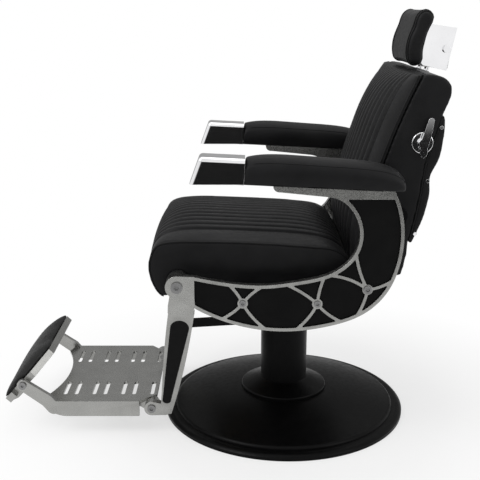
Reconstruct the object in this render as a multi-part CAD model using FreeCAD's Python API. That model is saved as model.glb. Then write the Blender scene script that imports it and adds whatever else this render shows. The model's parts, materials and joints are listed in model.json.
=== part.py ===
import FreeCAD, Part
import math
import os

os.makedirs("parts", exist_ok=True)

# Barber chair in millimetres. The front is -X, the sitter's left is -Y, and the floor is Z 0.
# The origin is on the floor, under the column.

# Fits
running_fit = 0.05
joint_gap = 0.3
soft_gap = 0.4

# Base, column and pump
base_radius = 333.0
base_rim_height = 10.0
base_ridge_radius = 296.0
base_ridge_height = 26.0
base_plate_radius = 316.0
base_plate_thickness = 10.0
cover_wall = 5.0
hub_radius = 122.0
hub_height = 60.0
collar_radius = 118.0
collar_edge = 5.0
collar_height = 30.0
sleeve_radius = 64.0
sleeve_wall = 4.0
sleeve_top = 300.0
pump_radius = 44.0
pump_bore = 31.0
pump_top = 272.0
pump_floor = 20.0
pump_flange_radius = 80.0
pump_flange_thickness = 12.0
pump_bolt_count = 6
pump_bolt_circle = 64.0
pump_bolt_radius = 5.0
gland_height = 20.0
gland_spigot = 10.0
ram_radius = 28.0
ram_foot = 80.0
ram_top = 335.0
piston_height = 24.0
piston_bore = 12.0
spindle_radius = 19.0
spindle_length = 40.0
bearing_height = 8.0

# Swivel hub and seat frame
swivel_hub_radius = 48.0
mount_plate_length = 280.0
mount_plate_width = 240.0
mount_plate_thickness = 10.0
mount_bolt_radius = 5.0
rail_mid_y = 85.0
rail_width = 40.0
rail_length = 300.0
rail_height = 16.0
beam_width = 40.0
beam_height = 16.0
end_plate_thickness = 8.0
end_plate_depth = 30.0
seat_board_thickness = 9.0
seat_board_front = -276.0
seat_board_rear = 108.0
seat_board_half_width = 238.0

# Side frame
frame_inner_y = 276.0
frame_thickness = 36.0
frame_web_thickness = 18.0
frame_rim = 8.0
rib_width = 7.0
pocket_depth = 12.0
pocket_corner = 2.0
pocket_rise = 12.096
panel_thickness = 8.0
panel_gap = 0.5
panel_chamfer = 0.8
screw_pad_radius = 12.5
web_screw_radius = 5.0
web_screw_head = 8.0
back_bolt_head = 10.0
web_screw_head_height = 4.0
boss_radius = 28.0
frame_loop_base = 450.0
leg_pivot = (-274.0, 449.5)
back_pivot = (180.7, 444.5)
front_web_screw = (-116.7, 409.9)
rear_web_screw = (61.8, 408.6)
leg_bolt_radius = 9.0
back_bolt_radius = 8.0

# Seat cushion
seat_half_width = 252.0
seat_bottom = 430.0
channel_half_width = 184.0
channel_count = 14
channel_depth = 4.5

# Armrests
arm_mid_y = 300.0
arm_front_x = -114.0
arm_bottom = 702.0
arm_length = 373.0
arm_height = 66.0
arm_half_width = 37.0
arm_fall_degrees = 2.8
arm_cap_length = 125.0
arm_cap_slant = 20.0
arm_cap_height = 60.0
arm_cap_drop = 6.0
arm_cap_half_width = 35.0
arm_cap_wall = 3.0
arm_board_thickness = 8.0
arm_board_half_width = 28.0
arm_screw_radius = 4.0
arm_screw_inset = 17.0
arm_screw_hole = 40.0

# Backrest
back_half_width = 247.0
back_arm_thickness = 8.0
shell_wall = 14.0
panel_screw_radius = 4.5
lever_pivot = (304.5, 786.5)
rosette_radius = 25.5
rosette_thickness = 6.0
lever_spindle_radius = 6.0

# Link between back and legs
link_offset = (-12.0, -72.0)
link_inner_y = 228.0
link_thickness = 8.0
link_half_height = 11.0
link_pin_radius = 6.0

# Legs, foot plate and flap
inset_high = (-272.6, 326.5)
inset_low = (-314.3, 103.0)
inset_high_radius = 23.5
inset_low_radius = 11.0
leg_thickness = 20.0
leg_foot_outer_y = 192.0
foot_pivot = (-355.6, 75.3)
foot_lug_radius = 19.0
foot_bolt_radius = 7.0
foot_top = 96.0
foot_plate_thickness = 7.0
foot_skirt_height = 42.0
foot_skirt_wall = 11.0
foot_half_width = 192.0
foot_front_x = -633.0
foot_rear_x = -388.0
foot_tongue_x = -344.0
slot_width = 11.0
slot_length = 80.0
slot_mid_y = 108.0
slot_pair_pitch = 77.0
slot_pair_gap = 29.5
flap_pivot = (-690.3, 140.9)
flap_lean_degrees = 46.5
flap_below = 58.0
flap_above = 95.0
flap_top_half_width = 126.0
flap_thickness = 18.0
flap_cheek_thickness = 10.0
flap_pad_crown = 22.0
flap_bolt_radius = 6.0
flap_boss = 15.0
foot_arm_thickness = 13.0
foot_arm_root_radius = 17.0

# Headrest
rod_radius = 6.0
rod_half_spacing = 40.0
rod_top_point = (347.0, 937.0)
rod_lean_degrees = 17.5
rod_length_below = 165.0
rod_length_above = 40.0
socket_wall = 3.0
socket_length = 112.0
head_half_width = 115.0
head_pivot = (394.6, 992.7)
block_side_wall = 1.5
head_plate_thickness = 3.0
head_pin_radius = 5.0
head_knob_radius = 10.0
head_knob_length = 9.0

# Pump lever, on the sitter's right
pump_pivot_y = 70.0
pump_pivot_z = 360.0
pump_lever_radius = 7.0
pump_pin_radius = 5.0
pump_ear_thickness = 6.0
pump_ear_gap = 18.0
pump_lever_reach = 372.0

nodes = {}


def vec(x, y, z):
    return FreeCAD.Vector(x, y, z)


def flat(point):
    """A point of the side view, (x, z), on the middle plane."""
    return vec(point[0], 0.0, point[1])


def line(start, end):
    return Part.makeLine(flat(start), flat(end))


def arc(start, middle, end):
    return Part.Arc(flat(start), flat(middle), flat(end)).toShape()


def spline(points):
    curve = Part.BSplineCurve()
    curve.interpolate([flat(point) for point in points])
    return curve.toShape()


def face(edges):
    return Part.Face(Part.Wire(Part.__sortEdges__(edges)))


def polygon(points):
    return Part.Face(Part.makePolygon([flat(point) for point in points + points[:1]]))


def disc(centre, radius):
    return Part.Face(Part.Wire(Part.makeCircle(radius, flat(centre), vec(0, 1, 0))))


def prism(shape, low_y, high_y):
    return shape.translated(vec(0, low_y, 0)).extrude(vec(0, high_y - low_y, 0))


def box(low_x, high_x, low_y, high_y, low_z, high_z):
    return Part.makeBox(high_x - low_x, high_y - low_y, high_z - low_z, vec(low_x, low_y, low_z))


def rod(radius, start, end):
    along = end - start
    return Part.makeCylinder(radius, along.Length, start, along)


def cross_pin(centre, radius, low_y, high_y):
    """A round pin across the chair at a point of the side view."""
    return rod(radius, vec(centre[0], low_y, centre[1]), vec(centre[0], high_y, centre[1]))


def turned(profile):
    """A solid turned about the column axis from (radius, height) points."""
    return polygon(profile).revolve(vec(0, 0, 0), vec(0, 0, 1), 360)


def turned_face(edges):
    return face(edges).revolve(vec(0, 0, 0), vec(0, 0, 1), 360)


def ring(outer, inner, low_z, high_z):
    return turned([(inner, low_z), (outer, low_z), (outer, high_z), (inner, high_z)])


def strap(start, end, start_radius, end_radius):
    """A flat bar outline with round ends."""
    along = math.atan2(end[1] - start[1], end[0] - start[0])
    length = math.dist(start, end)
    side = math.acos((start_radius - end_radius) / length)

    def on(centre, radius, angle):
        return (centre[0] + radius * math.cos(angle), centre[1] + radius * math.sin(angle))

    start_up = on(start, start_radius, along + side)
    start_down = on(start, start_radius, along - side)
    end_up = on(end, end_radius, along + side)
    end_down = on(end, end_radius, along - side)
    return face([line(start_up, end_up),
                 arc(end_up, on(end, end_radius, along), end_down),
                 line(end_down, start_down),
                 arc(start_down, on(start, start_radius, along + math.pi), start_up)])


def mirrored(shape):
    return shape.mirror(vec(0, 0, 0), vec(0, 1, 0))


def joined(shapes):
    return shapes[0].fuse(shapes[1:]).removeSplitter()


def node(name, *solids):
    nodes[name] = solids


def pair(name, right):
    node(name + "_left", mirrored(right))
    node(name + "_right", right)


def offset_point(point, shift):
    return (point[0] + shift[0], point[1] + shift[1])


def middle(start, end):
    return ((start[0] + end[0]) / 2, (start[1] + end[1]) / 2)


# Base, column and pump

bolt_angles = [360.0 / pump_bolt_count * index for index in range(pump_bolt_count)]
flange_top = base_plate_thickness + pump_flange_thickness
bolt_spots = [vec(pump_bolt_circle * math.cos(math.radians(angle)),
                  pump_bolt_circle * math.sin(math.radians(angle)), 0.0) for angle in bolt_angles]


def drilled_ring(shape, radius, low_z, high_z):
    for spot in bolt_spots:
        shape = shape.cut(Part.makeCylinder(radius, high_z - low_z, spot + vec(0, 0, low_z)))
    return shape


base_disc = Part.makeCylinder(base_plate_radius, base_plate_thickness)
node("base_plate", drilled_ring(base_disc, pump_bolt_radius + running_fit, 2.0, flange_top))

cover_hole = pump_radius + 8.0
cover_seat = base_ridge_radius + 4.0
skirt_bore = base_plate_radius + 2.0
inner_hub = hub_height - cover_wall
inner_ridge = base_ridge_height - cover_wall
dome_middle = (base_ridge_radius + hub_radius) / 2
dome_height = base_ridge_height * 0.38 + hub_height * 0.62
node("base_cover", turned_face([
    line((cover_hole, inner_hub), (cover_hole, hub_height)),
    line((cover_hole, hub_height), (hub_radius, hub_height)),
    arc((hub_radius, hub_height), (dome_middle, dome_height), (base_ridge_radius, base_ridge_height)),
    arc((base_ridge_radius, base_ridge_height), (cover_seat + 3.5, base_ridge_height - 4.0),
        (cover_seat + 6.0, base_ridge_height - 9.0)),
    line((cover_seat + 6.0, base_ridge_height - 9.0), (base_radius - 16.0, base_ridge_height - 9.0)),
    arc((base_radius - 16.0, base_ridge_height - 9.0), (base_radius - 5.0, base_rim_height + 4.0),
        (base_radius, base_rim_height - 1.0)),
    line((base_radius, base_rim_height - 1.0), (base_radius, 1.0)),
    line((base_radius, 1.0), (skirt_bore, 1.0)),
    line((skirt_bore, 1.0), (skirt_bore, base_plate_thickness)),
    line((skirt_bore, base_plate_thickness), (cover_seat, base_plate_thickness)),
    line((cover_seat, base_plate_thickness), (cover_seat - 10.0, inner_ridge)),
    arc((cover_seat - 10.0, inner_ridge), (dome_middle, dome_height - cover_wall - 1.0),
        (hub_radius - 4.0, inner_hub)),
    line((hub_radius - 4.0, inner_hub), (cover_hole, inner_hub))]))

collar_bore = sleeve_radius + joint_gap
collar_top = hub_height + collar_height
node("base_collar", turned_face([
    line((collar_bore, hub_height), (collar_radius, hub_height)),
    line((collar_radius, hub_height), (collar_radius, hub_height + collar_edge)),
    arc((collar_radius, hub_height + collar_edge),
        (collar_radius - 1.6, hub_height + collar_edge + 3.0),
        (collar_radius - 5.0, hub_height + collar_edge + 4.5)),
    line((collar_radius - 5.0, hub_height + collar_edge + 4.5), (sleeve_radius + 8.0, collar_top - 4.0)),
    line((sleeve_radius + 8.0, collar_top - 4.0), (collar_bore, collar_top)),
    line((collar_bore, collar_top), (collar_bore, hub_height))]))

node("column_sleeve", ring(sleeve_radius, sleeve_radius - sleeve_wall, hub_height, sleeve_top))

pump_body = turned([(0.0, base_plate_thickness), (pump_flange_radius, base_plate_thickness),
                    (pump_flange_radius, flange_top), (pump_radius, flange_top),
                    (pump_radius, pump_top), (pump_bore, pump_top),
                    (pump_bore, base_plate_thickness + pump_floor),
                    (0.0, base_plate_thickness + pump_floor)])
node("pump_cylinder", drilled_ring(pump_body, pump_bolt_radius + running_fit, 2.0, flange_top))

gland_bore = ram_radius + running_fit
gland_radius = sleeve_radius - sleeve_wall - joint_gap
node("pump_gland", turned([(gland_bore, pump_top - gland_spigot),
                           (pump_bore - running_fit, pump_top - gland_spigot),
                           (pump_bore - running_fit, pump_top), (gland_radius, pump_top),
                           (gland_radius, pump_top + gland_height),
                           (gland_bore, pump_top + gland_height)]))


def bolt(foot, head_base, radius, head_radius, head_height):
    """An upright bolt with its head on top."""
    shank = Part.makeCylinder(radius, head_base - foot.z, foot)
    head = Part.makeCylinder(head_radius, head_height, vec(foot.x, foot.y, head_base))
    return joined([shank, head])


node("pump_bolts", *[bolt(spot + vec(0, 0, 2.5), flange_top, pump_bolt_radius, pump_bolt_radius + 3.0,
                          6.0)
                     for spot in bolt_spots])

# Ram, with its piston below and its spindle on top
spindle_top = ram_top + spindle_length
node("ram", turned([(0.0, ram_foot - piston_height - 4.0), (piston_bore, ram_foot - piston_height - 4.0),
                    (piston_bore, ram_foot), (ram_radius, ram_foot), (ram_radius, ram_top),
                    (spindle_radius, ram_top), (spindle_radius, spindle_top), (0.0, spindle_top)]))
node("ram_piston", ring(pump_bore - running_fit, piston_bore + running_fit, ram_foot - piston_height,
                        ram_foot))
node("thrust_bearing", ring(ram_radius - 0.5, spindle_radius + running_fit, ram_top,
                            ram_top + bearing_height))

# Swivel hub, seat frame and seat board
hub_foot = ram_top + bearing_height + joint_gap
mount_bottom = spindle_top + 3.0
mount_top = mount_bottom + mount_plate_thickness
rail_top = mount_top + rail_height
beam_top = rail_top + beam_height
mount_spots = [vec(x, side * rail_mid_y, 0) for x in (-90.0, 50.0) for side in (-1, 1)]
mount_hole = mount_bolt_radius + running_fit

mount_plate = box(-mount_plate_length / 2, mount_plate_length / 2, -mount_plate_width / 2,
                  mount_plate_width / 2, mount_bottom, mount_top)
mount_plate = mount_plate.makeFillet(20.0, [edge for edge in mount_plate.Edges
                                            if abs(edge.tangentAt(0).z) > 0.9])
hub = Part.makeCylinder(swivel_hub_radius, mount_bottom - hub_foot, vec(0, 0, hub_foot))
hub = joined([hub, mount_plate])
hub = hub.cut(Part.makeCylinder(spindle_radius + running_fit, spindle_top + 1.0 - hub_foot,
                                vec(0, 0, hub_foot)))
for spot in mount_spots:
    hub = hub.cut(Part.makeCylinder(mount_hole, 60.0, spot + vec(0, 0, mount_bottom - 20.0)))
node("swivel_hub", hub)

frame_parts = []
for side in (-1, 1):
    mid = side * rail_mid_y
    frame_parts.append(box(-rail_length / 2, rail_length / 2 - 40.0, mid - rail_width / 2,
                           mid + rail_width / 2, mount_top, rail_top))
for screw in (front_web_screw, rear_web_screw):
    frame_parts.append(box(screw[0] - beam_width / 2, screw[0] + beam_width / 2,
                           -frame_inner_y + 2.0, frame_inner_y - 2.0, rail_top, beam_top))
    for side in (-1, 1):
        low_y = min(side * frame_inner_y, side * (frame_inner_y - end_plate_thickness))
        frame_parts.append(box(screw[0] - end_plate_depth, screw[0] + end_plate_depth, low_y,
                               low_y + end_plate_thickness, screw[1] - 20.0, screw[1] + 20.0))
seat_frame = joined(frame_parts)
for spot in mount_spots:
    seat_frame = seat_frame.cut(Part.makeCylinder(mount_hole, rail_height - 2.0,
                                                  spot + vec(0, 0, mount_top)))
for screw in (front_web_screw, rear_web_screw):
    for side in (-1, 1):
        seat_frame = seat_frame.cut(cross_pin(screw, web_screw_radius + running_fit,
                                              side * (frame_inner_y - 24.0), side * frame_inner_y))
node("seat_frame", seat_frame)


def hanging_bolt(spot, head_top, tip, radius, head_radius, head_height):
    """An upright bolt with its head below."""
    head = Part.makeCylinder(head_radius, head_height, vec(spot.x, spot.y, head_top - head_height))
    shank = Part.makeCylinder(radius, tip - head_top, vec(spot.x, spot.y, head_top))
    return joined([head, shank])


node("mount_bolts", *[hanging_bolt(spot, mount_bottom, rail_top - 3.0, mount_bolt_radius,
                                   mount_bolt_radius + 3.5, 6.0) for spot in mount_spots])
node("seat_board", box(seat_board_front, seat_board_rear, -seat_board_half_width, seat_board_half_width,
                       beam_top, beam_top + seat_board_thickness))

# Side frame: one closed outline, with webs left between the pockets
frame_outer_y = frame_inner_y + frame_thickness
arm_slope = math.tan(math.radians(arm_fall_degrees))


def rail_line(x):
    """Height of the arm rail's upper face."""
    return arm_bottom - arm_slope * (x - arm_front_x)


def touch_point(centre, radius, outside, turn):
    """Where a line from an outside point touches a circle."""
    away = math.dist(centre, outside)
    angle = math.atan2(outside[1] - centre[1], outside[0] - centre[0]) + turn * math.acos(radius / away)
    return (centre[0] + radius * math.cos(angle), centre[1] + radius * math.sin(angle))


def on_loop(x, share):
    """A point of the loop behind the seat, at a share of its rise to the arm."""
    return (x, frame_loop_base + share * (arm_bottom - frame_loop_base))


sweep_start = (-235.0, 399.0)
lower_sweep = [sweep_start, (-123.0, 352.6), (-19.0, 338.7), (89.0, 351.6), (176.0, 385.0),
               (228.0, 438.0), on_loop(254.0, 0.21), on_loop(262.0, 0.476), on_loop(254.0, 0.734),
               on_loop(236.0, 0.916)]
upper_sweep = [(-234.0, 476.0), (-140.0, 459.0), (-64.0, 455.0), (13.0, 464.0), (98.0, 487.0),
               on_loop(143.0, 0.302), on_loop(158.0, 0.496), on_loop(151.0, 0.651), on_loop(125.0, 0.802)]
boss_top = offset_point(leg_pivot, (0.0, boss_radius))
boss_front = offset_point(leg_pivot, (-boss_radius, 0.0))
boss_low = touch_point(leg_pivot, boss_radius, sweep_start, -1)
rail_front = -46.0
rail_rear = lower_sweep[-1][0]
rail_heel = on_loop(rail_front + 16.0, 0.917)
frame_outline = [arc(boss_top, boss_front, boss_low),
                 line(boss_low, sweep_start),
                 spline(lower_sweep),
                 line(lower_sweep[-1], (rail_rear, rail_line(rail_rear))),
                 line((rail_rear, rail_line(rail_rear)), (rail_front, rail_line(rail_front))),
                 line((rail_front, rail_line(rail_front)), on_loop(rail_front, 0.96)),
                 arc(on_loop(rail_front, 0.96), on_loop(rail_front + 4.0, 0.933), rail_heel),
                 line(rail_heel, on_loop(80.0, 0.873)),
                 arc(on_loop(80.0, 0.873), on_loop(105.0, 0.851), upper_sweep[-1]),
                 spline(upper_sweep),
                 line(upper_sweep[0], boss_top)]
frame_face = face(frame_outline)


def inset_points(points, distance):
    """Points along a curve, each moved sideways; positive is to the left of the way it runs."""
    curve = Part.BSplineCurve()
    curve.interpolate([flat(point) for point in points])
    moved = []
    for index in range(25):
        along = curve.FirstParameter + (curve.LastParameter - curve.FirstParameter) * index / 24
        spot = curve.value(along)
        way = curve.tangent(along)[0]
        moved.append((spot.x - way.z * distance, spot.z + way.x * distance))
    return moved


pocket_front = -232.0
pocket_high = upper_sweep[-1][1] + pocket_rise


def frame_field(margin):
    """The area inside the rim, between the two sweeps."""
    low = inset_points(lower_sweep, frame_rim + margin)
    high = inset_points(upper_sweep, -frame_rim - margin)
    corner = (126.0, pocket_high + 2.0)
    field = face([spline(low), spline(high), line(low[0], high[0]), line(low[-1], corner),
                  line(corner, high[-1])])
    front = pocket_front + margin
    top = pocket_high - margin
    return field.common(polygon([(front, 300.0), (320.0, 300.0), (320.0, top), (front, top)]))


def rib(start, end, bow, width):
    """A bowed band between two points; a positive bow is to the left of the way it runs."""
    length = math.dist(start, end)
    way = ((end[0] - start[0]) / length, (end[1] - start[1]) / length)

    def spot(along, side):
        return (start[0] + way[0] * along - way[1] * side, start[1] + way[1] * along + way[0] * side)

    half = width / 2
    return face([arc(spot(0.0, half), spot(length / 2, bow + half), spot(length, half)),
                 line(spot(length, half), spot(length, -half)),
                 arc(spot(length, -half), spot(length / 2, bow - half), spot(0.0, -half)),
                 line(spot(0.0, -half), spot(0.0, half))])


# Ribs run from the screws out to the rim: where each one ends, and how far it bows
front_ribs = [((-156.0, 462.0), -4.0), ((-58.0, 458.0), 5.0),
              ((-184.0, 364.0), 6.0), ((-48.0, 336.0), -7.0)]
rear_ribs = [((-26.0, 462.0), -5.0), ((78.0, 478.0), 3.0),
             ((-1.0, 334.0), 7.0), ((136.0, 358.0), -7.0)]
pivot_ribs = [((86.0, 480.0), -8.0), ((148.0, 364.0), 5.0),
              (on_loop(150.0, 0.35), 5.0), ((250.0, 476.0), -6.0)]
web = [(front_web_screw, front_ribs), (rear_web_screw, rear_ribs), (back_pivot, pivot_ribs)]


def frame_cells(margin):
    """The cells between rim, ribs and screw pads, drawn in by a margin."""
    field = frame_field(margin)
    for centre, ribs in web:
        field = field.cut(disc(centre, screw_pad_radius + margin))
        for end, bow in ribs:
            field = field.cut(rib(centre, end, bow, rib_width + 2.0 * margin))
    return [Part.Face(cell.Wires) for cell in field.Faces if cell.Area > 250.0]


def upright_edges(solid):
    """Edges that run straight across the chair."""
    return [edge for edge in solid.Edges if abs(edge.tangentAt(edge.FirstParameter).y) > 0.99]


def cell_block(cell, low_y, high_y, corner):
    """A cell's solid with its corners rounded."""
    block = prism(cell, low_y, high_y)
    return block.makeFillet(corner, upright_edges(block))


side_frame = prism(frame_face, frame_inner_y, frame_outer_y)
for cell in frame_cells(0.0):
    side_frame = side_frame.cut(cell_block(cell, frame_outer_y - pocket_depth, frame_outer_y + 1.0,
                                           pocket_corner))
thin_area = frame_face.common(polygon([(-400.0, 200.0), (400.0, 200.0), on_loop(400.0, 0.8),
                                       on_loop(-400.0, 0.8)]))
thin_area = thin_area.cut(disc(leg_pivot, boss_radius))
for spot in (front_web_screw, rear_web_screw, back_pivot):
    thin_area = thin_area.cut(disc(spot, 2.0 * screw_pad_radius))
for hollow in thin_area.Faces:
    side_frame = side_frame.cut(prism(hollow, frame_inner_y - 1.0, frame_outer_y - frame_web_thickness))
for spot in (front_web_screw, rear_web_screw):
    side_frame = side_frame.cut(cross_pin(spot, web_screw_radius + running_fit, frame_inner_y - 1,
                                          frame_outer_y + 1))
side_frame = side_frame.cut(cross_pin(back_pivot, back_bolt_radius + running_fit, frame_inner_y - 1,
                                      frame_outer_y + 1))
side_frame = side_frame.cut(cross_pin(leg_pivot, leg_bolt_radius + running_fit, frame_inner_y - 1,
                                      frame_outer_y + 1))
arm_board_rear = arm_front_x + 0.86 * arm_length
first_screw = rail_front + arm_screw_inset
last_screw = arm_board_rear - arm_screw_inset
arm_screw_spots = (first_screw, (first_screw + last_screw) / 2, last_screw)
for x in arm_screw_spots:
    side_frame = side_frame.cut(Part.makeCylinder(arm_screw_radius + running_fit, 1.5 * arm_screw_hole,
                                                  vec(x, arm_mid_y, rail_line(x) - arm_screw_hole)))
pair("side_frame", side_frame)

panel_foot_y = frame_outer_y - pocket_depth
panels = []
for cell in frame_cells(panel_gap):
    panel = cell_block(cell, panel_foot_y, panel_foot_y + panel_thickness, pocket_corner - panel_gap)
    front_edges = [edge for edge in panel.Edges
                   if edge.BoundBox.YMin > panel_foot_y + panel_thickness - 0.1]
    panels.append(panel.makeChamfer(panel_chamfer, front_edges))
node("frame_panels_left", *[mirrored(panel) for panel in panels])
node("frame_panels_right", *panels)


def both(shapes):
    return shapes + [mirrored(shape) for shape in shapes]


def headed_pin(centre, radius, tip_y, head_y, head_radius, head_height):
    """A pin across the chair with its head outside."""
    shank = cross_pin(centre, radius, tip_y, head_y)
    head = cross_pin(centre, head_radius, head_y, head_y + head_height)
    return joined([shank, head])


def socket_head(screw, centre, width, head_end_y, depth):
    """Cut a six-sided key socket in an outer head."""
    corners = [offset_point(centre, (width * math.cos(math.radians(60 * index)),
                                     width * math.sin(math.radians(60 * index)))) for index in range(6)]
    return screw.cut(prism(polygon(corners), head_end_y - depth, head_end_y + 1.0))


web_screws = []
for spot in (front_web_screw, rear_web_screw):
    screw = headed_pin(spot, web_screw_radius, frame_inner_y - 22.0, frame_outer_y, web_screw_head,
                       web_screw_head_height)
    web_screws.append(socket_head(screw, spot, 4.0, frame_outer_y + web_screw_head_height, 3.0))
node("frame_screws", *both(web_screws))

# Pivot bolts of the leg rest and the back
cushion_side_gap = 2.5
knuckle_inner_y = seat_half_width + cushion_side_gap
leg_bolt = headed_pin(leg_pivot, leg_bolt_radius, knuckle_inner_y + 0.5, frame_outer_y,
                      leg_bolt_radius + 5.0, 5.0)
node("leg_pivot_bolts", *both([socket_head(leg_bolt, leg_pivot, 6.0, frame_outer_y + 5.0, 4.0)]))

back_arm_outer_y = back_half_width + back_arm_thickness
back_bolt = headed_pin(back_pivot, back_bolt_radius, back_half_width - 7.0, frame_outer_y,
                       back_bolt_head, web_screw_head_height)
back_nut = cross_pin(back_pivot, back_bolt_radius + 4.0, back_half_width - 7.0,
                     back_half_width - joint_gap)
back_bolt = joined([back_bolt, back_nut])
node("back_pivot_bolts", *both([socket_head(back_bolt, back_pivot, 5.0,
                                            frame_outer_y + web_screw_head_height, 3.0)]))
spacer = cross_pin(back_pivot, back_bolt_radius + 6.0, back_arm_outer_y + joint_gap, frame_inner_y)
spacer = spacer.cut(cross_pin(back_pivot, back_bolt_radius + running_fit, back_arm_outer_y,
                              frame_inner_y + 1.0))
node("back_pivot_spacers", *both([spacer]))

# Armrests, built level and then tilted down to the rear


def arm_tilted(shape):
    turned_shape = shape.copy()
    turned_shape.rotate(vec(arm_front_x, 0, arm_bottom), vec(0, 1, 0), arm_fall_degrees)
    return turned_shape


def yz_wire(points_and_middles, x):
    """A closed section at one x from pieces: a line of two points or an arc of three."""
    edges = []
    for piece in points_and_middles:
        spots = [vec(x, spot[0], spot[1]) for spot in piece]
        if len(spots) == 2:
            edges.append(Part.makeLine(spots[0], spots[1]))
        else:
            edges.append(Part.Arc(spots[0], spots[1], spots[2]).toShape())
    return Part.Wire(edges)


def arm_section(along, height, half_width):
    low = arm_bottom + soft_gap
    seam = low + 0.62 * height
    foot = half_width - 3.0
    edge = half_width - 1.5
    side_z = low + 0.3 * height
    y = arm_mid_y
    return yz_wire([((y - foot, low), (y + foot, low)),
                    ((y + foot, low), (y + half_width, side_z), (y + edge, seam)),
                    ((y + edge, seam), (y, low + height), (y - edge, seam)),
                    ((y - edge, seam), (y - half_width, side_z), (y - foot, low))], arm_front_x + along)


arm_pad = Part.makeLoft([arm_section(0.0, arm_height - 8.0, arm_half_width - 2.0),
                         arm_section(45.0, arm_height, arm_half_width),
                         arm_section(190.0, arm_height, arm_half_width),
                         arm_section(0.82 * arm_length, 0.9 * arm_height, arm_half_width),
                         arm_section(0.925 * arm_length, 0.73 * arm_height, 0.96 * arm_half_width),
                         arm_section(0.98 * arm_length, 0.48 * arm_height, 0.84 * arm_half_width),
                         arm_section(arm_length, 0.24 * arm_height, 0.62 * arm_half_width)], True, False)
tongue_half = arm_cap_half_width - arm_cap_wall - joint_gap
arm_pad = arm_pad.cut(box(arm_front_x - 1.0, arm_board_rear + joint_gap,
                          arm_mid_y - arm_board_half_width - joint_gap,
                          arm_mid_y + arm_board_half_width + joint_gap,
                          arm_bottom - 1.0, arm_bottom + arm_board_thickness + joint_gap))
pair("arm_pad", arm_tilted(arm_pad))

tongue = arm_cap_length - arm_cap_wall - 14.0
board = box(arm_front_x - soft_gap, arm_board_rear, arm_mid_y - arm_board_half_width,
            arm_mid_y + arm_board_half_width, arm_bottom, arm_bottom + arm_board_thickness)
board = joined([board, box(arm_front_x - tongue, arm_front_x - soft_gap, arm_mid_y - tongue_half,
                           arm_mid_y + tongue_half, arm_bottom, arm_bottom + arm_board_thickness)])
board = arm_tilted(board)
for x in arm_screw_spots:
    board = board.cut(Part.makeCylinder(arm_screw_radius + running_fit, 26.0,
                                        vec(x, arm_mid_y, rail_line(x) - 20.0)))
node("arm_boards", *both([board]))

cap_low = arm_bottom + 1.5
cap_high = arm_bottom + arm_cap_height
cap_rear = arm_front_x - joint_gap
cap_block = prism(polygon([(arm_front_x - arm_cap_length, cap_low - arm_cap_drop),
                           (arm_front_x - arm_cap_length + arm_cap_slant, cap_high),
                           (cap_rear, cap_high), (cap_rear, cap_low)]),
                  arm_mid_y - arm_cap_half_width, arm_mid_y + arm_cap_half_width)
cap_edges = [edge for edge in cap_block.Edges
             if edge.BoundBox.ZMax > cap_low + 5.0 and edge.BoundBox.XMin < cap_rear - 5.0]
cap_block = cap_block.makeFillet(10.0, cap_edges)
cap_hollow = prism(polygon([(arm_front_x - arm_cap_length + arm_cap_wall, cap_low - arm_cap_drop - 1.0),
                            (arm_front_x - arm_cap_length + arm_cap_slant + arm_cap_wall,
                             cap_high - arm_cap_wall),
                            (cap_rear + 1.0, cap_high - arm_cap_wall), (cap_rear + 1.0, cap_low - 1.0)]),
                   arm_mid_y - arm_cap_half_width + arm_cap_wall,
                   arm_mid_y + arm_cap_half_width - arm_cap_wall)
hollow_edges = [edge for edge in cap_hollow.Edges
                if edge.BoundBox.ZMax > cap_low + 5.0 and edge.BoundBox.XMin < cap_rear - 5.0]
cap_hollow = cap_hollow.makeFillet(7.0, hollow_edges)
pair("arm_cap", arm_tilted(cap_block.cut(cap_hollow)))

arm_screws = []
for x in arm_screw_spots:
    seat_z = rail_line(x) - 18.0
    arm_screws.append(Part.makeCylinder(arm_screw_radius, 18.0 + 5.0, vec(x, arm_mid_y, seat_z)))
node("arm_screws", *both(arm_screws))

# Cushions: closed sections through an inner point and a crest point, lofted along the piece


def channel_crown(y, half_width, seam, crest):
    return seam + (crest - seam) * (1.0 - (y / half_width) ** 2)


def cushion_section(inner, crest, seam_share, half_width, foot_inset):
    """One section: flat foot, drawn-in sides, a rolled border and sewn channels."""
    up = flat(crest) - flat(inner)
    height = up.Length
    up.normalize()
    seam = seam_share * height
    depth = channel_depth * min(1.0, (height - seam) / 20.0)

    def spot(y, h):
        return flat(inner) + up * h + vec(0, y, 0)

    def crown(y):
        return channel_crown(y, half_width, seam, height)

    def bow(a, b, c):
        return Part.Arc(spot(*a), spot(*b), spot(*c)).toShape()

    foot = half_width - foot_inset
    edge = half_width - 3.0
    step = 2.0 * channel_half_width / channel_count
    grooves = [-channel_half_width + step * index for index in range(channel_count + 1)]
    border = (edge + channel_half_width) / 2
    first = (-channel_half_width, crown(channel_half_width) - depth)
    last = (channel_half_width, crown(channel_half_width) - depth)
    pieces = [Part.makeLine(spot(foot, 0.0), spot(-foot, 0.0)),
              bow((-foot, 0.0), (-half_width, 0.5 * seam), (-edge, seam)),
              bow((-edge, seam), (-border, crown(border)), first)]
    for low, high in zip(grooves, grooves[1:]):
        mid = (low + high) / 2
        pieces.append(bow((low, crown(low) - depth), (mid, crown(mid)), (high, crown(high) - depth)))
    pieces.append(bow(last, (border, crown(border)), (edge, seam)))
    pieces.append(bow((edge, seam), (half_width, 0.5 * seam), (foot, 0.0)))
    return Part.Wire(pieces)


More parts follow.
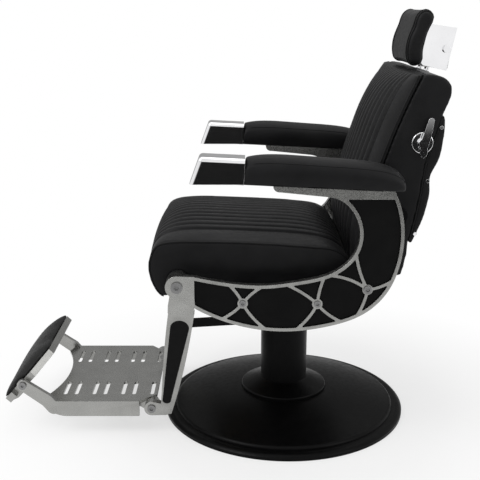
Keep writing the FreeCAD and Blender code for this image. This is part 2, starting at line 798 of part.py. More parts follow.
# Seat cushion, from the rear edge over the top and down the rolled front
seat_stations = [((140.0, 24.0), (141.0, 80.0), 0.87), ((112.0, 2.0), (108.0, 114.0), 0.83),
                 ((62.0, 0.0), (62.0, 133.0), 0.77), ((-60.0, 0.0), (-60.0, 145.0), 0.77),
                 ((-200.0, 0.0), (-200.0, 151.0), 0.77), ((-268.0, 2.0), (-287.0, 145.0), 0.79),
                 ((-282.0, 8.0), (-334.0, 118.0), 0.87), ((-286.0, 6.0), (-352.0, 75.0), 0.89),
                 ((-288.0, -2.0), (-352.0, 35.0), 0.88), ((-290.0, -12.0), (-336.0, -5.0), 0.87),
                 ((-292.0, -19.0), (-314.0, -24.0), 0.85)]
seat_wires = []
for inner, crest, seam_share in seat_stations:
    seat_wires.append(cushion_section(offset_point(inner, (0.0, seat_bottom)),
                                      offset_point(crest, (0.0, seat_bottom)),
                                      seam_share, seat_half_width, 8.0))
node("seat_cushion", Part.makeLoft(seat_wires, True, False))

# Backrest
front_low = (162.6, 455.0)
front_middle = (217.3, 731.8)
front_high = (303.0, 947.0)
front_curve = arc(front_low, front_middle, front_high).Curve
front_centre = (front_curve.Center.x, front_curve.Center.z)
front_radius = front_curve.Radius


def front_point(z, lift):
    """A point on the shell's front curve, moved out by a lift, at about one height."""
    angle = math.pi - math.asin((z - front_centre[1]) / front_radius)
    reach = front_radius + lift
    return (front_centre[0] + reach * math.cos(angle), front_centre[1] + reach * math.sin(angle))


shell_rear = [(351.0, 850.0), (331.0, 785.0), (319.0, 745.0), (309.0, 673.0), (297.0, 600.0),
              (284.0, 541.0)]
shell_top = [(303.0, 947.0), (326.0, 943.0), (359.0, 930.0), (368.0, 914.0), (363.0, 880.0),
             (351.0, 850.0)]
shell_face = face([arc(front_low, front_middle, front_high),
                   spline(shell_top),
                   spline(shell_rear),
                   line(shell_rear[-1], (282.0, 507.0)),
                   line((282.0, 507.0), (272.0, 461.0)),
                   arc((272.0, 461.0), (262.0, 457.0), (248.0, 459.0)),
                   line((248.0, 459.0), front_low)])
shell = prism(shell_face, -back_half_width, back_half_width)
cavity_low = front_point(540.0, -shell_wall)
cavity_middle = front_point(680.0, -shell_wall)
cavity_high = front_point(812.0, -shell_wall)
cavity = face([arc(cavity_low, cavity_middle, cavity_high),
               line(cavity_high, (420.0, cavity_high[1])),
               line((420.0, cavity_high[1]), (420.0, cavity_low[1])),
               line((420.0, cavity_low[1]), cavity_low)])
shell = shell.cut(prism(cavity, -back_half_width + shell_wall, back_half_width - shell_wall))

rod_tilt = math.radians(rod_lean_degrees)
rod_direction = vec(math.sin(rod_tilt), 0.0, math.cos(rod_tilt))
socket_radius = rod_radius + socket_wall
rod_mouths = [vec(rod_top_point[0], side * rod_half_spacing, rod_top_point[1]) for side in (-1, 1)]
sockets = []
for mouth in rod_mouths:
    shell = shell.cut(rod(socket_radius + running_fit, mouth - rod_direction * socket_length,
                          mouth + rod_direction * 30.0))
    shell = shell.cut(rod(rod_radius + 1.5, mouth - rod_direction * 200.0, mouth))
    tube = rod(socket_radius, mouth - rod_direction * socket_length, mouth + rod_direction * 2.0)
    bore = rod(rod_radius + running_fit, mouth - rod_direction * (socket_length + 1.0),
               mouth + rod_direction * 9.0)
    sockets.append(tube.cut(bore))
node("rod_sockets", *sockets)
arm_bolt_spots = [(238.0, 540.0), (258.0, 605.0)]
arm_bolt_radius = 5.0
arm_bolt_depth = 12.0
for side in (-1, 1):
    shell = shell.cut(cross_pin(back_pivot, back_bolt_radius + 6.0, side * (back_half_width - 9.0),
                                side * (back_half_width + 1.0)))
    for spot in arm_bolt_spots:
        shell = shell.cut(cross_pin(spot, arm_bolt_radius + running_fit,
                                    side * (back_half_width - arm_bolt_depth),
                                    side * (back_half_width + 1.0)))
shell = shell.cut(cross_pin(lever_pivot, lever_spindle_radius + running_fit, -back_half_width - 1.0,
                            -back_half_width + shell_wall + 1.0))
node("back_shell", shell)

back_stations = [(459.0, (152.0, 463.0)), (478.0, (149.0, 490.0)), (504.0, (141.0, 522.0)),
                 (535.0, (132.0, 552.0)), (566.0, (130.0, 581.0)), (600.0, (132.0, 611.0)),
                 (690.0, (147.5, 688.0)), (736.0, (158.5, 729.0)), (797.0, (174.0, 778.0)),
                 (846.0, (188.0, 821.5)), (893.0, (208.0, 867.0)),
                 (926.0, (233.0, 905.0)), (939.0, (260.0, 929.0)), (945.0, (281.0, 943.0))]
back_wires = []
for height, crest in back_stations:
    inner = front_point(height, soft_gap)
    share = min(0.6, 12.0 / math.dist(inner, crest))
    back_wires.append(cushion_section(inner, crest, share, back_half_width - 1.0, 4.0))
node("back_cushion", Part.makeLoft(back_wires, True, False))

panel_outer = [(293.0, 541.0), (305.0, 570.0), (317.0, 601.0), (326.0, 638.0), (330.0, 673.0),
               (328.5, 702.0),
               (334.5, 719.0), (347.0, 745.0), (354.0, 781.0), (357.0, 816.0), (355.0, 848.0)]
panel_inner = [offset_point(spot, (joint_gap, 0.0)) for spot in shell_rear]
back_panel_face = face([spline(panel_inner),
                        line(panel_inner[-1], panel_outer[0]),
                        spline(panel_outer),
                        line(panel_outer[-1], panel_inner[0])])
panel_half_width = back_half_width - 1.0
back_panel = prism(back_panel_face, -panel_half_width, panel_half_width)
panel_screw_spots = [(348.5, 822.0), (323.0, 695.0), (299.5, 565.0)]
panel_screw_depth = 14.0
panel_screws = []
for side in (-1, 1):
    for spot in panel_screw_spots:
        back_panel = back_panel.cut(cross_pin(spot, 2.5 + running_fit,
                                              side * (panel_half_width - panel_screw_depth),
                                              side * (panel_half_width + 1.0)))
for spot in panel_screw_spots:
    panel_screws.append(headed_pin(spot, 2.5, panel_half_width - panel_screw_depth + 1.0,
                                   panel_half_width,
                                   panel_screw_radius, 2.5))
node("back_panel", back_panel)
node("back_panel_screws", *both(panel_screws))

# Back arms turn on the back pivot and carry the rear end of the link
link_rear = offset_point(back_pivot, link_offset)
link_front = offset_point(leg_pivot, link_offset)
back_arm = joined([prism(strap(back_pivot, (240.0, 545.0), 24.0, 20.0), back_half_width,
                         back_arm_outer_y),
                   prism(strap((240.0, 545.0), (262.0, 612.0), 20.0, 16.0), back_half_width,
                         back_arm_outer_y),
                   prism(strap(back_pivot, link_rear, 24.0, 15.0), back_half_width, back_arm_outer_y)])
back_arm = back_arm.cut(cross_pin(back_pivot, back_bolt_radius + running_fit, back_half_width - 1,
                                  back_arm_outer_y + 1))
back_arm = back_arm.cut(cross_pin(link_rear, link_pin_radius + running_fit, back_half_width - 1,
                                  back_arm_outer_y + 1))
for spot in arm_bolt_spots:
    back_arm = back_arm.cut(cross_pin(spot, arm_bolt_radius + running_fit, back_half_width - 1,
                                      back_arm_outer_y + 1))
pair("back_arm", back_arm)
arm_bolts = []
for spot in arm_bolt_spots:
    arm_bolts.append(headed_pin(spot, arm_bolt_radius, back_half_width - arm_bolt_depth + 1.0,
                                back_arm_outer_y,
                                arm_bolt_radius + 3.5, 5.0))
node("back_arm_bolts", *both(arm_bolts))

# Link bars and their pins
link_outer_y = link_inner_y + link_thickness
link_path = [link_front, (-258.0, 330.0), (-146.0, 337.0), (100.0, 353.0), link_rear]
link = joined([prism(strap(start, end, link_half_height, link_half_height - 0.01), link_inner_y,
                     link_outer_y)
               for start, end in zip(link_path, link_path[1:])])
for spot in (link_front, link_rear):
    link = link.cut(cross_pin(spot, link_pin_radius + running_fit, link_inner_y - 1.0,
                              link_outer_y + 1.0))
node("link_bars", *both([link]))


def link_pin(spot, seat_y):
    """A shouldered pin: bar seat, flanges on both sides of it, and a fixed end further out."""
    pin = cross_pin(spot, link_pin_radius, link_inner_y - 4.0, seat_y)
    inner_flange = cross_pin(spot, link_pin_radius + 3.5, link_inner_y - 4.0, link_inner_y - joint_gap)
    outer_flange = cross_pin(spot, link_pin_radius + 3.5, link_outer_y + joint_gap, back_half_width)
    return joined([pin, inner_flange, outer_flange])


node("link_rear_pins", *both([link_pin(link_rear, back_arm_outer_y)]))

# Recline lever on the sitter's left, with its rosette
rosette = cross_pin(lever_pivot, rosette_radius, -back_half_width - rosette_thickness, -back_half_width)
rosette = rosette.makeFillet(2.0, [edge for edge in rosette.Edges
                                   if abs(edge.BoundBox.YMax + back_half_width + rosette_thickness) < 0.1])
rosette = rosette.cut(cross_pin(lever_pivot, lever_spindle_radius + running_fit, -back_half_width - 20.0,
                                -back_half_width + 1.0))
node("lever_rosette", rosette)
lever_inner_y = back_half_width + rosette_thickness + joint_gap
lever_face = face([arc((313.0, 840.0), (322.0, 846.0), (327.0, 841.0)),
                   line((327.0, 841.0), (321.0, 800.0)),
                   line((321.0, 800.0), (314.0, 773.0)),
                   arc((314.0, 773.0), (310.5, 756.0), (305.0, 752.0)),
                   arc((305.0, 752.0), (299.0, 760.0), (297.0, 776.0)),
                   line((297.0, 776.0), (300.0, 797.0)),
                   line((300.0, 797.0), (313.0, 840.0))])
lever = joined([prism(lever_face, -lever_inner_y - 12.0, -lever_inner_y - 4.0),
                cross_pin(lever_pivot, 11.0, -lever_inner_y - 12.0, -lever_inner_y),
                cross_pin(lever_pivot, lever_spindle_radius, -lever_inner_y,
                          -back_half_width + shell_wall + 8.0)])
node("recline_lever", lever)

# Legs: an upright knuckle on the leg pivot, then a body that leans inwards to the foot plate
leg_foot_z = foot_pivot[1]
leg_lean = math.atan(84.0 / 310.0)


def on_leg(point):
    """Side-view point carried on to the leaning face."""
    return (point[0], leg_foot_z + (point[1] - leg_foot_z) / math.cos(leg_lean))


def leaned(shape):
    leaning = shape.copy()
    leaning.rotate(vec(0, leg_foot_outer_y, leg_foot_z), vec(1, 0, 0), -math.degrees(leg_lean))
    return leaning


leg_front = [on_leg(spot) for spot in ((-299.0, 372.0), (-310.0, 292.0), (-328.0, 111.0), (-333.0, 56.0))]
leg_rear = [on_leg(spot) for spot in ((-304.0, 58.0), (-290.0, 106.0), (-248.0, 292.0), (-235.0, 368.0))]
leg_face = face([spline(leg_front), line(leg_front[-1], leg_rear[0]), spline(leg_rear),
                 line(leg_rear[-1], leg_front[0])])
leg_body = leaned(prism(leg_face, leg_foot_outer_y - leg_thickness, leg_foot_outer_y))
knuckle_outer_y = frame_inner_y - joint_gap
knuckle_face = polygon([(-292.0, 430.0), (-299.0, 392.0), (-300.0, 372.0), (-236.0, 366.0),
                        (-236.0, 384.0),
                        (-247.0, 400.0), (-248.0, 449.0)])
knuckle = joined([prism(disc(leg_pivot, boss_radius - 1.0), knuckle_inner_y, knuckle_outer_y),
                  prism(knuckle_face, knuckle_inner_y, knuckle_outer_y)])
lug = prism(strap(foot_pivot, (-320.0, 72.0), foot_lug_radius, 15.0), leg_foot_outer_y - leg_thickness,
            leg_foot_outer_y)
leg = joined([leg_body, knuckle, lug])
leg = leg.cut(cross_pin(leg_pivot, leg_bolt_radius + running_fit, knuckle_inner_y - 1.0,
                        knuckle_outer_y + 1.0))
leg = leg.cut(cross_pin(foot_pivot, foot_bolt_radius + running_fit, leg_foot_outer_y - 40.0,
                        leg_foot_outer_y + 1.0))
leg = leg.cut(cross_pin(link_front, link_pin_radius + running_fit, knuckle_inner_y - 12.0,
                        knuckle_inner_y + 12.0))


def inset_outline(margin):
    return strap(on_leg(inset_high), on_leg(inset_low), inset_high_radius - margin,
                 inset_low_radius - margin)


inset_depth = 3.0
leg = leg.cut(leaned(prism(inset_outline(0.0), leg_foot_outer_y - inset_depth, leg_foot_outer_y + 1.0)))
pair("leg", leg)
inset = leaned(prism(inset_outline(panel_gap), leg_foot_outer_y - inset_depth, leg_foot_outer_y - 0.5))
node("leg_insets", *both([inset]))
front_pin = link_pin(link_front, knuckle_inner_y + 10.0)
node("link_front_pins", *both([front_pin]))

# Foot plate with its slots, ears and flap arms
skirt_low = foot_top - foot_skirt_height
plate_low = foot_top - foot_plate_thickness
inner_half = foot_half_width - foot_skirt_wall
ear_outer_y = leg_foot_outer_y - leg_thickness - joint_gap
ear_inner_y = ear_outer_y - 20.0


def plan_face(edges):
    return Part.Face(Part.Wire(Part.__sortEdges__(edges)))


def plan_polygon(points, z):
    spots = [vec(x, y, z) for x, y in points]
    return Part.Face(Part.makePolygon(spots + spots[:1]))


nose_half = 150.0
nose_depth = 30.0
plate_corners = [(foot_front_x, nose_half), (foot_front_x + 12.0, foot_half_width),
                 (foot_rear_x, foot_half_width),
                 (foot_rear_x + 18.0, ear_outer_y), (foot_tongue_x, ear_inner_y - 2.0),
                 (foot_tongue_x, 2.0 - ear_inner_y),
                 (foot_rear_x + 18.0, -ear_outer_y), (foot_rear_x, -foot_half_width),
                 (foot_front_x + 12.0, -foot_half_width), (foot_front_x, -nose_half)]
plate_edges = []
for start, end in zip(plate_corners, plate_corners[1:]):
    plate_edges.append(Part.makeLine(vec(start[0], start[1], plate_low), vec(end[0], end[1], plate_low)))
plate_edges.append(Part.Arc(vec(foot_front_x, -nose_half, plate_low),
                            vec(foot_front_x + nose_depth, 0, plate_low),
                            vec(foot_front_x, nose_half, plate_low)).toShape())
plate = plan_face(plate_edges).extrude(vec(0, 0, foot_plate_thickness))
slot_rear_x = -358.5
slot_lines = [slot_rear_x]
for index in range(3):
    slot_lines += [slot_rear_x - slot_pair_gap - slot_pair_pitch * index - 19.0,
                   slot_rear_x - slot_pair_pitch * index - 78.0]
for x in slot_lines:
    for side in (-1, 1):
        low_y = side * slot_mid_y - slot_length / 2
        slot = box(x - slot_width / 2, x + slot_width / 2, low_y, low_y + slot_length, plate_low - 1.0,
                   foot_top + 1.0)
        slot = slot.makeFillet(slot_width / 2 - 0.2, [edge for edge in slot.Edges
                                                      if abs(edge.tangentAt(0).z) > 0.9])
        plate = plate.cut(slot)

flap_arm_outer = foot_half_width
flap_arm_inner = flap_arm_outer - foot_arm_thickness
arm_root = (foot_front_x + 20.0, foot_top - 19.0)
arm_bend = (foot_front_x + 4.0, foot_top + 1.0)
skirt_face = face([line((foot_front_x + 18.0, foot_top), (foot_rear_x, foot_top)),
                   line((foot_rear_x, foot_top), (foot_rear_x, skirt_low)),
                   line((foot_rear_x, skirt_low), (foot_front_x + 60.0, skirt_low)),
                   arc((foot_front_x + 60.0, skirt_low), (foot_front_x + 22.0, skirt_low + 8.0),
                       (foot_front_x - 4.0, skirt_low + 30.0)),
                   line((foot_front_x - 4.0, skirt_low + 30.0), (foot_front_x + 18.0, foot_top))])
foot_parts = [plate]
for side in (-1, 1):
    low_y = min(side * inner_half, side * foot_half_width)
    foot_parts.append(prism(skirt_face, low_y, low_y + foot_skirt_wall))
    low_y = min(side * ear_inner_y, side * ear_outer_y)
    ear = joined([prism(disc(foot_pivot, foot_lug_radius), low_y, low_y + ear_outer_y - ear_inner_y),
                  prism(polygon([(foot_pivot[0] - 60.0, plate_low + 1.0),
                                 (foot_pivot[0] + 14.0, plate_low + 1.0),
                                 (foot_pivot[0] + 10.0, foot_pivot[1] - 15.0),
                                 (foot_pivot[0] - 10.0, foot_pivot[1] - 16.0)]),
                        low_y, low_y + ear_outer_y - ear_inner_y)])
    foot_parts.append(ear)
    low_y = min(side * flap_arm_inner, side * flap_arm_outer)
    for outline in (strap(arm_bend, flap_pivot, foot_arm_root_radius, flap_boss),
                    strap(arm_root, arm_bend, foot_arm_root_radius + 0.01, foot_arm_root_radius)):
        foot_parts.append(prism(outline, low_y, low_y + foot_arm_thickness))
foot_plate = joined(foot_parts)
for side in (-1, 1):
    foot_plate = foot_plate.cut(cross_pin(foot_pivot, foot_bolt_radius + running_fit,
                                          side * (ear_inner_y - 1.0),
                                          side * (ear_outer_y + 1.0)))
    foot_plate = foot_plate.cut(cross_pin(flap_pivot, flap_bolt_radius + running_fit,
                                          side * (flap_arm_inner - 1.0),
                                          side * (flap_arm_outer + 1.0)))
node("foot_plate", foot_plate)
foot_bolt = headed_pin(foot_pivot, foot_bolt_radius, ear_inner_y, leg_foot_outer_y,
                       foot_bolt_radius + 4.0, 4.0)
node("foot_pivot_bolts", *both([socket_head(foot_bolt, foot_pivot, 5.0, leg_foot_outer_y + 4.0, 3.0)]))

# Flap, built flat with its pivot at the origin and then leaned back
flap_half_width = foot_half_width
flap_plate_half = flap_arm_inner - 1.0
flap_cheek_outer = flap_arm_inner - joint_gap
flap_cheek_inner = flap_cheek_outer - flap_cheek_thickness
half_thick = flap_thickness / 2


def flap_placed(shape):
    placed = shape.copy()
    placed.rotate(vec(0, 0, 0), vec(0, 1, 0), -flap_lean_degrees)
    placed.translate(flat(flap_pivot))
    return placed


strip_top = -34.0
flap_parts = [box(-flap_below, strip_top, -flap_half_width, flap_half_width, -half_thick, half_thick),
              plan_polygon([(strip_top - 1.0, -flap_plate_half), (36.0, -flap_plate_half),
                            (flap_above, -flap_top_half_width), (flap_above, flap_top_half_width),
                            (36.0, flap_plate_half), (strip_top - 1.0, flap_plate_half)],
                           -half_thick).extrude(vec(0, 0, flap_thickness))]
cheek_face = polygon([(-flap_below, half_thick), (14.0, half_thick), (14.0, -6.0), (4.0, -16.0),
                      (-40.0, -16.0), (-flap_below, -half_thick)])
for side in (-1, 1):
    low_y = min(side * flap_cheek_inner, side * flap_cheek_outer)
    flap_parts.append(prism(cheek_face, low_y, low_y + flap_cheek_thickness))
flap = joined(flap_parts)
flap_hole = flap_bolt_radius + running_fit
bolt_inner_y = flap_arm_inner - 24.0
for side in (-1, 1):
    flap = flap.cut(cross_pin((0.0, 0.0), flap_hole, side * bolt_inner_y, side * flap_arm_inner))
node("flap_body", flap_placed(flap))
flap_head_y = flap_arm_outer + joint_gap
flap_bolt = headed_pin((0.0, 0.0), flap_bolt_radius, bolt_inner_y + 1.0, flap_head_y,
                       flap_bolt_radius + 4.0, 4.0)
flap_bolt = socket_head(flap_bolt, (0.0, 0.0), 4.0, flap_head_y + 4.0, 3.0)
node("flap_bolts", *[flap_placed(screw) for screw in both([flap_bolt])])


def flap_pad_section(y, low, high, crown):
    base_n = half_thick + soft_gap
    rise = min(6.0, 0.5 * crown)
    mid = (low + high) / 2
    spots = [vec(low, y, base_n), vec(high, y, base_n), vec(high + 1.0, y, base_n + rise / 2),
             vec(high - 1.0, y, base_n + rise), vec(mid, y, base_n + crown),
             vec(low + 1.0, y, base_n + rise),
             vec(low - 1.0, y, base_n + rise / 2)]
    return Part.Wire([Part.makeLine(spots[0], spots[1]), Part.Arc(spots[1], spots[2], spots[3]).toShape(),
                      Part.Arc(spots[3], spots[4], spots[5]).toShape(),
                      Part.Arc(spots[5], spots[6], spots[0]).toShape()])


pad_low = -flap_below + 2.0
pad_stations = [(flap_half_width - 2.0, 6.0, 6.0), (flap_half_width - 12.0, 20.0, 9.0),
                (160.0, 46.0, 13.0),
                (flap_top_half_width, flap_above - 2.0, 18.0),
                (60.0, flap_above - 1.0, flap_pad_crown - 1.0)]
pad_wires = [flap_pad_section(-y, pad_low, high, crown) for y, high, crown in pad_stations]
pad_wires.append(flap_pad_section(0.0, pad_low, flap_above - 1.0, flap_pad_crown))
pad_wires += [flap_pad_section(y, pad_low, high, crown) for y, high, crown in reversed(pad_stations)]
flap_pad = Part.makeLoft(pad_wires, True, False)
for side in (-1, 1):
    flap_pad = flap_pad.cut(cross_pin((0.0, 0.0), flap_boss + 7.0, side * (flap_arm_inner - 1.5),
                                      side * (flap_arm_outer + 1.0)))
node("flap_pad", flap_placed(flap_pad))

# Headrest: rods and block slide, bracket and pad tilt on the knob pin
block_face = polygon([(339.0, 949.0), (400.0, 944.0), (409.0, 1003.0), (355.0, 1009.0)])
block_half_width = rod_half_spacing + rod_radius + block_side_wall
block = prism(block_face, -block_half_width, block_half_width)
head_rods = []
for mouth in rod_mouths:
    foot = mouth - rod_direction * rod_length_below
    tip = mouth + rod_direction * rod_length_above
    block = block.cut(rod(rod_radius + running_fit, foot, tip))
    head_rods.append(rod(rod_radius, foot, tip))
block = block.cut(cross_pin(head_pivot, head_pin_radius + running_fit, -60.0, 60.0))
node("headrest_block", block)
node("headrest_rods", *head_rods)
cheek_inner_y = block_half_width + joint_gap
cheek_outer_y = cheek_inner_y + head_plate_thickness
cheek = polygon([(337.0, 952.0), (397.0, 939.0), (418.0, 1044.0), (358.0, 1053.0), (347.0, 1055.0),
                 (327.5, 963.0)])
front_strip = polygon([(322.3, 958.0), (325.5, 957.4), (348.5, 1065.4), (345.3, 1066.0)])
bracket = joined([prism(cheek, cheek_inner_y, cheek_outer_y),
                  prism(cheek, -cheek_outer_y, -cheek_inner_y),
                  prism(front_strip, -cheek_outer_y, cheek_outer_y)])
bracket = bracket.cut(cross_pin(head_pivot, head_pin_radius + running_fit, -60.0, 60.0))
node("headrest_bracket", bracket)
knob_end = cheek_outer_y + head_knob_length
knob = joined([cross_pin(head_pivot, head_pin_radius, -knob_end, knob_end),
               cross_pin(head_pivot, head_knob_radius, cheek_outer_y, knob_end),
               cross_pin(head_pivot, head_knob_radius, -knob_end, -cheek_outer_y)])
node("headrest_knobs", knob)

pad_outline = [(290.0, 966.0), (288.0, 989.0), (294.0, 1024.0), (305.0, 1057.0), (313.0, 1079.0),
               (328.0, 1089.0),
               (346.0, 1076.0), (340.5, 1057.0), (330.0, 1033.0), (324.0, 1007.0), (321.0, 982.0),
               (320.5, 962.0),
               (305.0, 953.5)]
pad_hold = (326.0, 1010.0)


def head_pad_wire(y, scale):
    spots = []
    for point in pad_outline:
        spots.append(vec(pad_hold[0] + (point[0] - pad_hold[0]) * scale, y,
                         pad_hold[1] + (point[1] - pad_hold[1]) * scale))
    curve = Part.BSplineCurve()
    curve.interpolate(Points=spots, PeriodicFlag=True)
    return Part.Wire(curve.toShape())


pad_ends = [(head_half_width, 0.86), (head_half_width - 8.0, 0.955), (head_half_width - 26.0, 0.995),
            (0.5 * head_half_width, 1.0), (0.25 * head_half_width, 1.0)]
head_wires = [head_pad_wire(-y, scale) for y, scale in pad_ends]
head_wires.append(head_pad_wire(0.0, 1.0))
head_wires += [head_pad_wire(y, scale) for y, scale in reversed(pad_ends)]
node("headrest_pad", Part.makeLoft(head_wires, True, False))

# Pump lever, its bracket under the mounting plate, and its pin
ear_half = pump_ear_gap / 2
lever_pivot_point = vec(0.0, pump_pivot_y, pump_pivot_z)
ears = []
for side in (-1, 1):
    low_x = min(side * ear_half, side * (ear_half + pump_ear_thickness))
    ears.append(box(low_x, low_x + pump_ear_thickness, pump_pivot_y - 11.0, pump_pivot_y + 11.0,
                    pump_pivot_z, mount_bottom))
    ears.append(Part.makeCylinder(11.0, pump_ear_thickness, vec(low_x, pump_pivot_y, pump_pivot_z),
                                  vec(1, 0, 0)))
ears.append(box(-ear_half - pump_ear_thickness, ear_half + pump_ear_thickness, pump_pivot_y - 11.0,
                pump_pivot_y + 11.0, mount_bottom - 4.0, mount_bottom))
ear_pin_half = ear_half + pump_ear_thickness + 2.0
pin_cut = Part.makeCylinder(pump_pin_radius + running_fit, 2 * ear_pin_half,
                            vec(-ear_pin_half, pump_pivot_y, pump_pivot_z),
                            vec(1, 0, 0))
node("pump_lever_bracket", joined(ears).cut(pin_cut))
node("pump_lever_pin", Part.makeCylinder(pump_pin_radius, 2 * ear_pin_half,
                                         vec(-ear_pin_half, pump_pivot_y, pump_pivot_z), vec(1, 0, 0)))
lever_spots = [lever_pivot_point, vec(0, 200.0, 330.0), vec(0, 325.0, 301.0),
               vec(0, pump_lever_reach, 316.0)]
lever_parts = [Part.makeCylinder(11.0, pump_ear_gap - 2 * joint_gap,
                                 vec(-ear_half + joint_gap, pump_pivot_y, pump_pivot_z), vec(1, 0, 0))]
for start, end in zip(lever_spots, lever_spots[1:]):
    lever_parts.append(rod(pump_lever_radius, start, end))
    lever_parts.append(Part.makeSphere(pump_lever_radius, end))
pump_lever = joined(lever_parts).cut(pin_cut)
node("pump_lever", pump_lever)
grip_along = (lever_spots[3] - lever_spots[2]).normalize()
grip_start = lever_spots[2] + grip_along * 8.0
grip_end = lever_spots[3] + grip_along * 12.0
grip = rod(pump_lever_radius + 4.0, grip_start, grip_end)
grip_round = 2.0 * math.pi * (pump_lever_radius + 4.0)
grip = grip.makeFillet(3.0, [edge for edge in grip.Edges if abs(edge.Length - grip_round) < 0.1])
grip_hole = rod(pump_lever_radius + running_fit, grip_start - grip_along, lever_spots[3])
grip_hole = grip_hole.fuse(Part.makeSphere(pump_lever_radius + running_fit, lever_spots[3]))
node("pump_lever_grip", grip.cut(grip_hole))

for name, solids in nodes.items():
    shape = solids[0] if len(solids) == 1 else Part.makeCompound(list(solids))
    shape.exportStep("parts/" + name + ".step")
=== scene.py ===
import json
import math

import bmesh
import bpy
import numpy as np
from mathutils import Matrix, Vector
from mathutils.bvhtree import BVHTree


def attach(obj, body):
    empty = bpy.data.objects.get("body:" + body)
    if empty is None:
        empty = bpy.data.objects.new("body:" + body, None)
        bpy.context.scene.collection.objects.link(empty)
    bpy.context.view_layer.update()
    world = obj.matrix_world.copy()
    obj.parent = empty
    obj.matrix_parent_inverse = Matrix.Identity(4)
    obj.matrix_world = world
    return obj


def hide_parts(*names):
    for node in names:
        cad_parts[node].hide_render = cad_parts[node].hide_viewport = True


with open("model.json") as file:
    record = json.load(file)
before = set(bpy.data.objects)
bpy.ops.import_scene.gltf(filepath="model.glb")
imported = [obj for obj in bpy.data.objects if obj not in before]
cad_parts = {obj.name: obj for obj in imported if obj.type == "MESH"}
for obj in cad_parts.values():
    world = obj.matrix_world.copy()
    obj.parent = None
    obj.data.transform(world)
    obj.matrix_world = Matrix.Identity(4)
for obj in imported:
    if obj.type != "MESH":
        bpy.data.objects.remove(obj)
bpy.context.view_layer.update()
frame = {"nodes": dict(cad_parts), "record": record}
nodes = frame["nodes"]
scene = bpy.context.scene

# Camera: the photograph's viewpoint, in metres and degrees

CAMERA_PLACE = (-0.1231, -2.2515, 1.0964)
CAMERA_TILT = 74.745
CAMERA_LENS = 64.38
SENSOR_WIDTH = 36.0
camera_data = bpy.data.cameras.new("camera")
camera_data.lens = CAMERA_LENS
camera_data.sensor_width = SENSOR_WIDTH
camera = bpy.data.objects.new("camera", camera_data)
camera.location = CAMERA_PLACE
camera.rotation_euler = (math.radians(CAMERA_TILT), 0.0, 0.0)
scene.collection.objects.link(camera)
scene.camera = camera
scene.view_settings.view_transform = "Standard"


# Materials: every one is a node graph on object coordinates, so the detail has a real size

class Graph:
    """A small helper round one material's node tree."""

    def __init__(self, name):
        self.material = bpy.data.materials.new(name)
        self.material.use_nodes = True
        self.tree = self.material.node_tree
        self.shader = self.tree.nodes["Principled BSDF"]
        self.coords = self.tree.nodes.new("ShaderNodeTexCoord").outputs["Object"]

    def node(self, kind, **inputs):
        made = self.tree.nodes.new(kind)
        for key, value in inputs.items():
            self.feed(made.inputs[key.replace("_", " ")], value)
        return made

    def feed(self, socket, value):
        if isinstance(value, bpy.types.NodeSocket):
            self.tree.links.new(value, socket)
        else:
            socket.default_value = value

    def set(self, **inputs):
        for key, value in inputs.items():
            self.feed(self.shader.inputs[key.replace("_", " ")], value)

    def stretched(self, scale):
        mapping = self.node("ShaderNodeMapping", Vector=self.coords)
        mapping.inputs["Scale"].default_value = scale
        return mapping.outputs["Vector"]

    def noise(self, scale, detail=3.0, roughness=0.55, vector=None):
        made = self.node("ShaderNodeTexNoise", Vector=vector or self.coords, Scale=scale, Detail=detail,
                         Roughness=roughness)
        return made.outputs["Fac"]

    def cells(self, scale):
        return self.node("ShaderNodeTexVoronoi", Vector=self.coords, Scale=scale).outputs["Distance"]

    def ramp(self, value, low, low_colour, high, high_colour):
        made = self.node("ShaderNodeValToRGB", Fac=value)
        first, last = made.color_ramp.elements
        first.position, last.position = low, high
        first.color = (*low_colour, 1.0)
        last.color = (*high_colour, 1.0)
        return made.outputs["Color"]

    def span(self, value, low, high, out_low, out_high):
        made = self.node("ShaderNodeMapRange", Value=value)
        limits = {"From Min": low, "From Max": high, "To Min": out_low, "To Max": out_high}
        for key, number in limits.items():
            made.inputs[key].default_value = number
        return made.outputs["Result"]

    def mix(self, factor, first, second):
        made = self.tree.nodes.new("ShaderNodeMix")
        made.data_type = "RGBA"
        self.feed(made.inputs["Factor"], factor)
        self.feed(made.inputs[6], first)
        self.feed(made.inputs[7], second)
        return made.outputs[2]

    def bump(self, height, strength, distance, below=None):
        made = self.node("ShaderNodeBump", Height=height, Strength=strength, Distance=distance)
        if below:
            self.feed(made.inputs["Normal"], below)
        return made.outputs["Normal"]

    def edges(self):
        """How sharply a surface turns outwards, for wear along edges and for painted shade in folds."""
        return self.tree.nodes.new("ShaderNodeNewGeometry").outputs["Pointiness"]


EDGE_ROUNDING = 0.0009
FLAT = (1.0, 1.0, 1.0)


def scaled(colour, share):
    """A colour made lighter or darker, with full opacity."""
    return (*[min(1.0, channel * share) for channel in colour], 1.0)


def leather(name, dark, light, rough_low, rough_high):
    """Dyed leather with pores and creases, rubbed on its ridges, with painted shade in its folds and sewn
    grooves.
    """
    g = Graph(name)
    colour = g.ramp(g.noise(16.0, 4.0), 0.32, dark, 0.70, light)
    rubbed = g.span(g.edges(), 0.51, 0.57, 0.0, 0.30)
    colour = g.mix(rubbed, colour, scaled(light, 2.0))
    # painted shade: the colour is darkened where the surface turns inward, in folds and the sewn channel
    # lines
    painted_fold_shade = g.span(g.edges(), 0.49, 0.43, 0.0, 0.85)
    colour = g.mix(painted_fold_shade, colour, scaled(dark, 0.25))
    pores = g.cells(620.0)
    creases = g.noise(70.0, 5.0, 0.62, g.stretched((1.0, 1.6, 1.0)))
    normal = g.bump(creases, 0.16, 0.0016)
    normal = g.bump(pores, 0.22, 0.0005, normal)
    roughness = g.span(g.noise(120.0, 3.0), 0.3, 0.7, rough_low, rough_high)
    g.set(Base_Color=colour, Roughness=roughness, Normal=normal, Specular_IOR_Level=0.13, Sheen_Weight=0.02,
          Sheen_Roughness=0.4)
    return g.material


